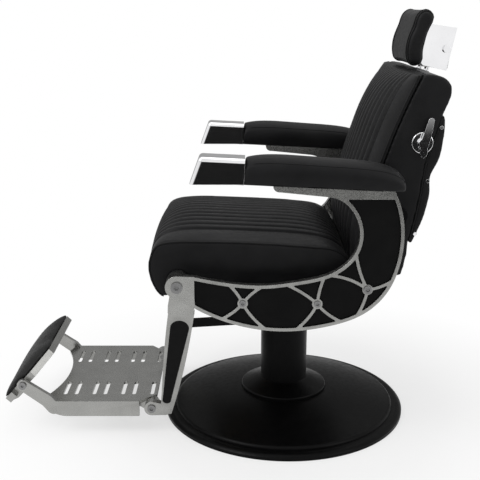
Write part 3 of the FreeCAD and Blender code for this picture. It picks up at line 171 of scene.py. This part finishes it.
def moulded(name, dark, light, rough, grain, specular, depth=0.0003):
    """Paint, plastic, rubber or thread with a fine grain, paler where its edges are worn."""
    g = Graph(name)
    colour = g.ramp(g.noise(30.0, 4.0), 0.3, dark, 0.72, light)
    worn = g.span(g.edges(), 0.52, 0.60, 0.0, 0.4)
    colour = g.mix(worn, colour, scaled(light, 2.5))
    normal = g.bump(g.cells(grain), 0.2, depth)
    roughness = g.span(g.noise(90.0), 0.3, 0.7, rough - 0.06, rough + 0.07)
    g.set(Base_Color=colour, Roughness=roughness, Normal=normal, Specular_IOR_Level=specular)
    return g.material


def metal(name, dark, light, rough_low, rough_high, grain, strength, stretch=FLAT):
    """Bare metal with fine lines in its finish, and edges shaded as if slightly rounded."""
    g = Graph(name)
    colour = g.ramp(g.noise(22.0, 5.0), 0.3, dark, 0.7, light)
    worn = g.span(g.edges(), 0.53, 0.62, 0.0, 0.55)
    colour = g.mix(worn, colour, scaled(light, 1.18))
    lines = g.noise(grain, 4.0, 0.6, g.stretched(stretch))
    rounded = g.node("ShaderNodeBevel", Radius=EDGE_ROUNDING).outputs["Normal"]
    g.set(Base_Color=colour, Metallic=1.0, Roughness=g.span(lines, 0.3, 0.7, rough_low, rough_high),
          Normal=g.bump(lines, strength, 0.0002, rounded))
    return g.material


def plywood(name):
    g = Graph(name)
    rings = g.noise(26.0, 6.0, 0.6, g.stretched((0.12, 1.0, 1.0)))
    colour = g.ramp(rings, 0.3, (0.30, 0.19, 0.10), 0.7, (0.52, 0.38, 0.23))
    roughness = g.span(rings, 0.3, 0.7, 0.55, 0.7)
    g.set(Base_Color=colour, Roughness=roughness, Normal=g.bump(rings, 0.15, 0.0004))
    return g.material


materials = {
    "leather": leather("leather", (0.0050, 0.0050, 0.0054), (0.0085, 0.0085, 0.0090), 0.40, 0.52),
    "black_coat": moulded("black_coat", (0.0012, 0.0012, 0.0013), (0.0022, 0.0022, 0.0023), 0.34, 900.0,
                          0.07, 0.0001),
    "panel_black": moulded("panel_black", (0.0020, 0.0020, 0.0021), (0.0036, 0.0036, 0.0036), 0.55, 700.0,
                           0.07),
    "rubber": moulded("rubber", (0.006, 0.006, 0.006), (0.011, 0.011, 0.0107), 0.50, 500.0, 0.14),
    "cast_alloy": metal("cast_alloy", (0.27, 0.27, 0.26), (0.36, 0.36, 0.347), 0.22, 0.34, 380.0, 0.03),
    "chrome": metal("chrome", (0.70, 0.70, 0.71), (0.80, 0.80, 0.81), 0.05, 0.09, 160.0, 0.004),
    "steel": metal("steel", (0.15, 0.15, 0.15), (0.25, 0.25, 0.25), 0.24, 0.38, 260.0, 0.08,
                   (1.0, 1.0, 12.0)),
    "plywood": plywood("plywood"),
}
piping_leather = leather("piping_leather", (0.0022, 0.0022, 0.0024), (0.004, 0.004, 0.0042), 0.40, 0.52)
thread = moulded("thread", (0.008, 0.008, 0.0083), (0.014, 0.014, 0.0143), 0.6, 2500.0, 0.2)

for row in frame["record"]["subparts"]:
    mesh = nodes[row["node"]].data
    mesh.materials.clear()
    mesh.materials.append(materials[row["material_slot"]])


# Soft pieces: lengths in metres

CLOTH_FRAMES = 20
EVENING_PASSES = 8
STITCH_LENGTH = 0.0034
STITCH_GAP = 0.0016
THREAD_RADIUS = 0.00045
THREAD_LIFT = 0.0002
SIDES = ((-1, "left"), (1, "right"))


def link_object(name, mesh):
    made = bpy.data.objects.new(name, mesh)
    scene.collection.objects.link(made)
    return made


def coordinates(mesh):
    found = np.empty(len(mesh.vertices) * 3)
    mesh.vertices.foreach_get("co", found)
    return found.reshape(-1, 3)


def write_back(mesh, points):
    mesh.vertices.foreach_set("co", points.ravel())
    mesh.update()


def vertex_normals(mesh):
    found = np.empty(len(mesh.vertices) * 3, dtype=np.float32)
    mesh.vertex_normals.foreach_get("vector", found)
    return found.reshape(-1, 3).astype(float)


def apply_all(piece):
    """Turns a piece's modifiers into its mesh."""
    graph = bpy.context.evaluated_depsgraph_get()
    made = bpy.data.meshes.new_from_object(piece.evaluated_get(graph))
    piece.modifiers.clear()
    piece.data = made


def smooth_step(low, high, value):
    t = np.clip((value - low) / (high - low), 0.0, 1.0)
    return t * t * (3.0 - 2.0 * t)


def remeshed(node, name, voxel, relax):
    """A new even skin round a node's solid, with its sharp edges relaxed."""
    piece = link_object(name, nodes[node].data.copy())
    modifier = piece.modifiers.new("skin", "REMESH")
    modifier.mode = "VOXEL"
    modifier.voxel_size = voxel
    soften = piece.modifiers.new("soften", "SMOOTH")
    soften.factor = 0.5
    soften.iterations = relax
    apply_all(piece)
    return piece


def evened(mesh, field, passes):
    """A field on a mesh's points, averaged over neighbours."""
    ends = np.empty(len(mesh.edges) * 2, dtype=np.int64)
    mesh.edges.foreach_get("vertices", ends)
    first, second = ends.reshape(-1, 2).T
    count = len(mesh.vertices)
    degree = np.bincount(first, minlength=count) + np.bincount(second, minlength=count)
    for _ in range(passes):
        total = field.copy()
        for axis in range(field.shape[1]):
            total[:, axis] += np.bincount(first, field[second, axis], count)
            total[:, axis] += np.bincount(second, field[first, axis], count)
        field = total / (degree[:, None] + 1.0)
    return field


def inflate(piece, pressure, cap, rest):
    """Swells a closed skin as cloth under pressure, and limits how far each point moves.

    cap is the largest movement in metres. rest(points, normals) gives a share from 0, held, to 1, free.
    """
    start = coordinates(piece.data)
    free = rest(start, vertex_normals(piece.data))[:, None]
    cloth = piece.modifiers.new("cloth", "CLOTH")
    settings = cloth.settings
    settings.quality = 4
    settings.mass = 0.35
    settings.tension_stiffness = 18.0
    settings.compression_stiffness = 18.0
    settings.shear_stiffness = 6.0
    settings.bending_stiffness = 0.6
    settings.use_pressure = True
    settings.uniform_pressure_force = pressure
    settings.effector_weights.gravity = 0.0
    cloth.collision_settings.use_collision = False
    cloth.point_cache.frame_start = 1
    cloth.point_cache.frame_end = CLOTH_FRAMES
    for number in range(1, CLOTH_FRAMES + 1):
        scene.frame_set(number)
    apply_all(piece)
    scene.frame_set(1)
    moved = coordinates(piece.data) - start
    size = np.linalg.norm(moved, axis=1, keepdims=True)
    moved *= np.minimum(1.0, cap * free / np.maximum(size, 1e-9))
    write_back(piece.data, start + evened(piece.data, moved, EVENING_PASSES))


def subdivided(piece):
    modifier = piece.modifiers.new("finer", "SUBSURF")
    modifier.levels = 1
    modifier.render_levels = 1
    apply_all(piece)


def smooth_shaded(piece):
    piece.data.polygons.foreach_set("use_smooth", [True] * len(piece.data.polygons))


def dress(piece, material, body, slot, *replaced):
    piece.data.materials.clear()
    piece.data.materials.append(material)
    smooth_shaded(piece)
    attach(piece, body)
    if replaced:
        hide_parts(*replaced)


def carve_channels(piece, half_width, count, width, depth, facing):
    """Presses narrow sewn lines between the channels, on the side that faces the sitter."""
    points = coordinates(piece.data)
    normals = vertex_normals(piece.data)
    pitch = 2.0 * half_width / count
    offset = (points[:, 1] + half_width) / pitch
    nearest = np.clip(np.round(offset), 0, count)
    away = np.abs(offset - nearest) * pitch
    press = np.exp(-(away / width) ** 2) * depth
    press *= smooth_step(0.05, 0.35, normals @ np.array(facing))
    press *= smooth_step(0.9, 0.6, np.abs(normals[:, 1]))
    write_back(piece.data, points - normals * press[:, None])


def surface_tree(piece):
    points = [Vector(p) for p in coordinates(piece.data)]
    return BVHTree.FromPolygons(points, [tuple(p.vertices) for p in piece.data.polygons])


def smooth_path(points, steps, closed=False):
    """Points along a smooth curve through a few given ones."""
    given = [Vector(p) for p in points]
    count = len(given)
    made = []
    spans = count if closed else count - 1
    for index in range(spans):
        around = [given[(index + k) % count] if closed else given[min(max(index + k, 0), count - 1)]
                  for k in (-1, 0, 1, 2)]
        for step in range(steps):
            t = step / steps
            a, b, c, d = around
            made.append(0.5 * ((2 * b) + (c - a) * t + (2 * a - 5 * b + 4 * c - d) * t * t
                               + (3 * b - 3 * c + d - a) * t ** 3))
    if not closed:
        made.append(given[-1])
    return made


def on_surface(tree, points, lift):
    made = []
    for point in points:
        spot, normal, _, _ = tree.find_nearest(point)
        made.append(spot + normal * lift)
    return made


def tube(name, path, radius, sides=8, closed=False):
    """A round tube along a path, as one mesh."""
    mesh = bmesh.new()
    rings = []
    count = len(path)
    across = Vector((0.0, 0.0, 1.0))
    for index, point in enumerate(path):
        before = path[index - 1] if closed or index > 0 else point
        after = path[(index + 1) % count] if closed or index < count - 1 else point
        along = (after - before).normalized()
        if abs(along.dot(across)) > 0.95:
            across = Vector((1.0, 0.0, 0.0)) if abs(along.x) < 0.9 else Vector((0.0, 1.0, 0.0))
        first = along.cross(across).normalized()
        across = first.cross(along).normalized()
        ring = []
        for side in range(sides):
            angle = 2.0 * math.pi * side / sides
            spoke = first * math.cos(angle) + across * math.sin(angle)
            ring.append(mesh.verts.new(point + spoke * radius))
        rings.append(ring)
    pairs = list(zip(rings, rings[1:]))
    if closed:
        pairs.append((rings[-1], rings[0]))
    for low, high in pairs:
        for side in range(sides):
            nxt = (side + 1) % sides
            mesh.faces.new((low[side], low[nxt], high[nxt], high[side]))
    if not closed:
        mesh.faces.new(rings[0])
        mesh.faces.new(list(reversed(rings[-1])))
    bmesh.ops.recalc_face_normals(mesh, faces=mesh.faces)
    made = bpy.data.meshes.new(name)
    mesh.to_mesh(made)
    mesh.free()
    return link_object(name, made)


def stitches(name, path, body):
    """A row of short threads along a path."""
    mesh = bmesh.new()
    travelled = 0.0
    next_start = 0.0
    for start, end in zip(path, path[1:]):
        run = (end - start).length
        along = (end - start).normalized() if run > 1e-9 else Vector((1.0, 0.0, 0.0))
        while next_start < travelled + run:
            spot = start + along * (next_start - travelled + STITCH_LENGTH / 2)
            turn = along.to_track_quat("Z", "Y").to_matrix().to_4x4()
            shape = Matrix.Diagonal((1.0, 1.0, STITCH_LENGTH / 2 / THREAD_RADIUS, 1.0))
            bmesh.ops.create_uvsphere(mesh, u_segments=6, v_segments=4, radius=THREAD_RADIUS,
                                      matrix=Matrix.Translation(spot) @ turn @ shape)
            next_start += STITCH_LENGTH + STITCH_GAP
        travelled += run
    made = bpy.data.meshes.new(name)
    mesh.to_mesh(made)
    mesh.free()
    dress(link_object(name, made), thread, body, "leather")


def mirror_copy(piece, name):
    """The same piece on the other side of the chair."""
    mesh = piece.data.copy()
    points = coordinates(mesh)
    points[:, 1] *= -1.0
    mesh.vertices.foreach_set("co", points.ravel())
    mesh.flip_normals()
    mesh.update()
    return link_object(name, mesh)


def welt(name, path, radius, body, closed=False):
    """A piping cord sewn along a seam."""
    made = tube(name, path, radius, closed=closed)
    dress(made, piping_leather, body, "leather")


# Seat cushion

CHANNEL_HALF = 0.184
CHANNELS = 14
LINE_WIDTH = 0.0042
SEAT_LINE_DEPTH = 0.0045
SEAT_SWELL = 0.004
SEAT_HALF = 0.249
SEAT_WELT = 0.0027
CUSHION_VOXEL = 0.005
SEAT_FACING = (-0.5, 0.0, 0.87)
SEAT_SEAM = [(0.141, 0.503), (0.109, 0.525), (0.062, 0.5325), (-0.06, 0.5415), (-0.20, 0.546),
             (-0.283, 0.545), (-0.327, 0.534), (-0.345, 0.497), (-0.344, 0.461), (-0.330, 0.424),
             (-0.311, 0.407)]
seat_cushion = remeshed("seat_cushion", "seat_cushion_soft", CUSHION_VOXEL, 2)


def seat_rest(points, normals):
    top = smooth_step(-0.1, 0.5, normals[:, 2])
    front = smooth_step(0.2, 0.8, -normals[:, 0])
    side = 0.35 * smooth_step(0.5, 0.9, np.abs(normals[:, 1]))
    resting = smooth_step(0.4, 0.8, -normals[:, 2])
    return np.clip(np.maximum(np.maximum(0.8 * top, 0.6 * front), side) - resting, 0.0, 1.0)


inflate(seat_cushion, 4.0, SEAT_SWELL, seat_rest)
subdivided(seat_cushion)
carve_channels(seat_cushion, CHANNEL_HALF, CHANNELS, LINE_WIDTH, SEAT_LINE_DEPTH, SEAT_FACING)
dress(seat_cushion, materials["leather"], "seat", "leather", "seat_cushion")

seat_tree = surface_tree(seat_cushion)
for side, word in SIDES:
    seam = smooth_path([(x, side * SEAT_HALF, z) for x, z in SEAT_SEAM], 14)
    welt("seat_welt_" + word, on_surface(seat_tree, seam, 0.0007), SEAT_WELT, "seat")
    row = [point + Vector((0.0, -side * 0.007, 0.004)) for point in seam]
    stitches("seat_stitches_" + word, on_surface(seat_tree, row, THREAD_LIFT), "seat")

# Back cushion

BACK_LINE_DEPTH = 0.004
BACK_SWELL = 0.004
BACK_HALF = 0.2445
BACK_WELT = 0.0022
BACK_FACING = (-0.95, 0.0, 0.3)
BACK_SEAM = [(0.1562, 0.462), (0.1555, 0.485), (0.161, 0.540), (0.172, 0.603), (0.193, 0.690),
             (0.227, 0.794), (0.246, 0.842), (0.266, 0.889), (0.281, 0.922), (0.289, 0.943)]
back_cushion = remeshed("back_cushion", "back_cushion_soft", CUSHION_VOXEL, 2)


def back_rest(points, normals):
    front = smooth_step(-0.1, 0.5, -normals[:, 0])
    side = 0.2 * smooth_step(0.5, 0.9, np.abs(normals[:, 1]))
    resting = smooth_step(0.3, 0.7, normals[:, 0] * 0.95 - normals[:, 2] * 0.3)
    return np.clip(np.maximum(0.8 * front, side) - resting, 0.0, 1.0)


inflate(back_cushion, 4.0, BACK_SWELL, back_rest)
subdivided(back_cushion)
carve_channels(back_cushion, CHANNEL_HALF, CHANNELS, LINE_WIDTH, BACK_LINE_DEPTH, BACK_FACING)
dress(back_cushion, materials["leather"], "back", "leather", "back_cushion")

back_tree = surface_tree(back_cushion)
for side, word in SIDES:
    route = smooth_path([(x, side * BACK_HALF, z) for x, z in BACK_SEAM], 16)
    seam = on_surface(back_tree, route, 0.0006)
    welt("back_welt_" + word, seam, BACK_WELT, "back")
    row = [point + Vector((-0.008, -side * 0.003, 0.0)) for point in seam]
    stitches("back_stitches_" + word, on_surface(back_tree, row, THREAD_LIFT), "back")

# Back shell and its rear panel, wrapped in leather

PANEL_LOW, PANEL_HIGH = 0.546, 0.846
PANEL_EDGE = 0.2455
PANEL_STEPS = 27
back_shell = remeshed("back_shell", "back_shell_soft", 0.006, 3)
subdivided(back_shell)
dress(back_shell, materials["leather"], "back", "leather", "back_shell")
back_panel = remeshed("back_panel", "back_panel_soft", 0.004, 3)
dress(back_panel, materials["leather"], "back", "leather", "back_panel")

panel_tree = surface_tree(back_panel)
for side, word in SIDES:
    line = []
    for step in range(PANEL_STEPS + 1):
        height = PANEL_LOW + (PANEL_HIGH - PANEL_LOW) * step / PANEL_STEPS
        start = Vector((0.1, side * (PANEL_EDGE - 0.004), height))
        spot = panel_tree.ray_cast(start, Vector((1.0, 0.0, 0.0)))[0]
        line.append(Vector((spot.x - 0.0006, side * PANEL_EDGE, height)))
    welt("panel_welt_" + word, line, BACK_WELT, "back")

# Arm pads: one is simulated and the other is its mirror image

ARM_MID = 0.300
ARM_FRONT, ARM_REAR = -0.114, 0.2585
ARM_FOOT = 0.7024
ARM_FALL = math.tan(math.radians(2.8))
ARM_SEAM_SHARE = 0.78
ARM_SEAM_STEPS = 26
ARM_WELT = 0.0012
ARM_SWELL = 0.004
arm_pad = remeshed("arm_pad_right", "arm_pad_right_soft", 0.0045, 2)


def arm_rest(points, normals):
    top = smooth_step(-0.2, 0.4, normals[:, 2])
    side = 0.7 * smooth_step(0.5, 0.9, np.abs(normals[:, 1]))
    ends = smooth_step(ARM_FRONT + 0.03, ARM_FRONT, points[:, 0])
    foot = smooth_step(-0.2, -0.7, normals[:, 2])
    return np.clip(np.maximum(top, side) - foot - 0.9 * ends, 0.0, 1.0)


inflate(arm_pad, 4.0, ARM_SWELL, arm_rest)
subdivided(arm_pad)
arm_tree = surface_tree(arm_pad)


def arm_seam_point(x, side):
    """The seam lies at a fixed share of the pad's height, on the outer or the inner side."""
    low = ARM_FOOT - ARM_FALL * (x - ARM_FRONT)
    top = arm_tree.ray_cast(Vector((x, ARM_MID, 1.0)), Vector((0.0, 0.0, -1.0)))[0].z
    height = low + ARM_SEAM_SHARE * (top - low)
    outside = Vector((x, ARM_MID + side * 0.1, height))
    spot, normal, _, _ = arm_tree.ray_cast(outside, Vector((0.0, -side, 0.0)))
    return spot - normal * 0.0002


def arm_station(step):
    """Stations stand closer together towards the rounded rear end."""
    share = 1.0 - (1.0 - step / ARM_SEAM_STEPS) ** 1.6
    return ARM_FRONT + 0.003 + (ARM_REAR - ARM_FRONT - 0.007) * share


arm_stations = [arm_station(step) for step in range(ARM_SEAM_STEPS + 1)]
arm_seam = [arm_seam_point(x, 1) for x in arm_stations]
arm_seam += [arm_seam_point(x, -1) for x in reversed(arm_stations)]
arm_seam = smooth_path(arm_seam, 3)
for piece, side, word in ((arm_pad, 1, "right"), (mirror_copy(arm_pad, "arm_pad_left_soft"), -1, "left")):
    dress(piece, materials["leather"], "seat", "leather", "arm_pad_" + word)
    welt("arm_welt_" + word, [Vector((p.x, side * p.y, p.z)) for p in arm_seam], ARM_WELT, "seat")

# Headrest pad

HEAD_HALF = 0.115
HEAD_MID = Vector((0.309, 0.0, 1.020))
HEAD_SWELL = 0.004
HEAD_SEAM_STEPS = 72
head_pad = remeshed("headrest_pad", "headrest_pad_soft", 0.004, 2)


def head_rest(points, normals):
    front = smooth_step(-0.2, 0.5, -normals[:, 0])
    return np.maximum(front, 0.25)


inflate(head_pad, 4.0, HEAD_SWELL, head_rest)
subdivided(head_pad)
dress(head_pad, materials["leather"], "headrest", "leather", "headrest_pad")
head_tree = surface_tree(head_pad)
for offset, radius, label in ((0.009, 0.0022, "outer"), (0.019, 0.0018, "inner")):
    for side, word in SIDES:
        centre = HEAD_MID + Vector((0.0, side * (HEAD_HALF - offset), 0.0))
        loop = []
        for step in range(HEAD_SEAM_STEPS):
            angle = 2.0 * math.pi * step / HEAD_SEAM_STEPS
            outwards = Vector((math.cos(angle), 0.0, math.sin(angle)))
            spot, normal, _, _ = head_tree.ray_cast(centre, outwards)
            loop.append(spot + normal * 0.0004)
        welt("head_welt_" + label + "_" + word, loop, radius, "headrest", closed=True)

# Flap pad

FLAP_FACING = (-0.725, 0.0, 0.688)
FLAP_SWELL = 0.002
flap_pad = remeshed("flap_pad", "flap_pad_soft", 0.004, 1)


def flap_rest(points, normals):
    return smooth_step(0.1, 0.6, normals @ np.array(FLAP_FACING))


inflate(flap_pad, 3.0, FLAP_SWELL, flap_rest)
subdivided(flap_pad)
dress(flap_pad, materials["rubber"], "flap", "rubber", "flap_pad")

# Floor, light and world

REACH = 12.0
CARD_REACH = 3.5
FADE_NEAR, FADE_FAR = 0.45, 0.95
WHITE_NEAR = 0.60


def seen_directly(tree):
    """1 where a thing is looked at, mirrored or seen through, and 0 where it only gives light."""
    path = tree.nodes.new("ShaderNodeLightPath")
    total = path.outputs["Is Camera Ray"]
    for kind in ("Is Glossy Ray", "Is Transmission Ray"):
        either = tree.nodes.new("ShaderNodeMath")
        either.operation = "MAXIMUM"
        tree.links.new(total, either.inputs[0])
        tree.links.new(path.outputs[kind], either.inputs[1])
        total = either.outputs[0]
    return total


def mixed_shaders(tree, factor, first, second):
    chooser = tree.nodes.new("ShaderNodeMixShader")
    tree.links.new(factor, chooser.inputs[0])
    tree.links.new(first, chooser.inputs[1])
    tree.links.new(second, chooser.inputs[2])
    return chooser.outputs[0]


floor_mesh = bpy.data.meshes.new("floor")
floor_corners = [(-REACH, -REACH, 0), (REACH, -REACH, 0), (REACH, REACH, 0), (-REACH, REACH, 0)]
floor_mesh.from_pydata(floor_corners, [], [(0, 1, 2, 3)])
floor = link_object("floor", floor_mesh)
floor_graph = Graph("floor_paper")
paper = floor_graph.ramp(floor_graph.noise(3.0), 0.3, (0.86, 0.86, 0.86), 0.7, (0.90, 0.90, 0.90))
floor_graph.set(Base_Color=paper, Roughness=0.9, Specular_IOR_Level=0.1)
floor_mesh.materials.append(floor_graph.material)

# The floor keeps the chair's shadow and turns to plain white away from it
tree = floor_graph.tree
away = tree.nodes.new("ShaderNodeVectorMath")
away.operation = "LENGTH"
tree.links.new(floor_graph.coords, away.inputs[0])
fade = floor_graph.span(away.outputs["Value"], FADE_NEAR, FADE_FAR, WHITE_NEAR, 1.0)
share = tree.nodes.new("ShaderNodeMath")
share.operation = "MULTIPLY"
tree.links.new(seen_directly(tree), share.inputs[0])
tree.links.new(fade, share.inputs[1])
white_paper = tree.nodes.new("ShaderNodeEmission")
surface = mixed_shaders(tree, share.outputs[0], floor_graph.shader.outputs[0], white_paper.outputs[0])
tree.links.new(surface, tree.nodes["Material Output"].inputs["Surface"])


def mirror_card(name, y, top, low_glow, high_glow, turn_low, turn_high):
    """A card that only mirrors show, darker below, so that polished metal has something to reflect."""
    mesh = bpy.data.meshes.new(name)
    corners = [(-CARD_REACH, y, 0.0), (CARD_REACH, y, 0.0), (CARD_REACH, y, top), (-CARD_REACH, y, top)]
    mesh.from_pydata(corners, [], [(0, 1, 2, 3)])
    card = link_object(name, mesh)
    card.visible_camera = False
    card.visible_diffuse = False
    card.visible_shadow = False
    g = Graph(name + "_cloth")
    height = g.tree.nodes.new("ShaderNodeSeparateXYZ")
    g.tree.links.new(g.coords, height.inputs[0])
    glow = g.span(height.outputs["Z"], turn_low, turn_high, low_glow, high_glow)
    lamp = g.node("ShaderNodeEmission", Strength=glow)
    g.tree.links.new(lamp.outputs[0], g.tree.nodes["Material Output"].inputs["Surface"])
    mesh.materials.append(g.material)


mirror_card("front_card", -2.5, 0.74, 0.012, 0.85, 0.48, 0.74)
mirror_card("back_card", 2.6, 2.4, 0.35, 0.42, 0.0, 2.4)

world = bpy.data.worlds.new("studio")
scene.world = world
world.use_nodes = True
world_tree = world.node_tree
world_tree.nodes.clear()


def plain_sky(strength):
    sky = world_tree.nodes.new("ShaderNodeBackground")
    sky.inputs["Color"].default_value = (1.0, 1.0, 1.0, 1.0)
    sky.inputs["Strength"].default_value = strength
    return sky.outputs[0]


lighting_sky = plain_sky(0.65)
shown_sky = plain_sky(1.0)
both_skies = mixed_shaders(world_tree, seen_directly(world_tree), lighting_sky, shown_sky)
world_out = world_tree.nodes.new("ShaderNodeOutputWorld")
world_tree.links.new(both_skies, world_out.inputs["Surface"])


def soft_box(name, place, target, width, height, power):
    lamp_data = bpy.data.lights.new(name, "AREA")
    lamp_data.shape = "RECTANGLE"
    lamp_data.size = width
    lamp_data.size_y = height
    lamp_data.energy = power
    lamp = bpy.data.objects.new(name, lamp_data)
    lamp.location = place
    aim = Vector(target) - Vector(place)
    lamp.rotation_euler = aim.to_track_quat("-Z", "Y").to_euler()
    scene.collection.objects.link(lamp)


soft_box("key", (-2.4, -1.6, 2.9), (-0.1, 0.0, 0.5), 1.6, 1.6, 46.0)
soft_box("top", (0.2, 0.3, 3.2), (0.0, 0.0, 0.4), 2.4, 2.4, 20.0)
soft_box("fill", (2.4, -1.8, 1.6), (0.1, 0.0, 0.5), 1.4, 1.8, 14.0)
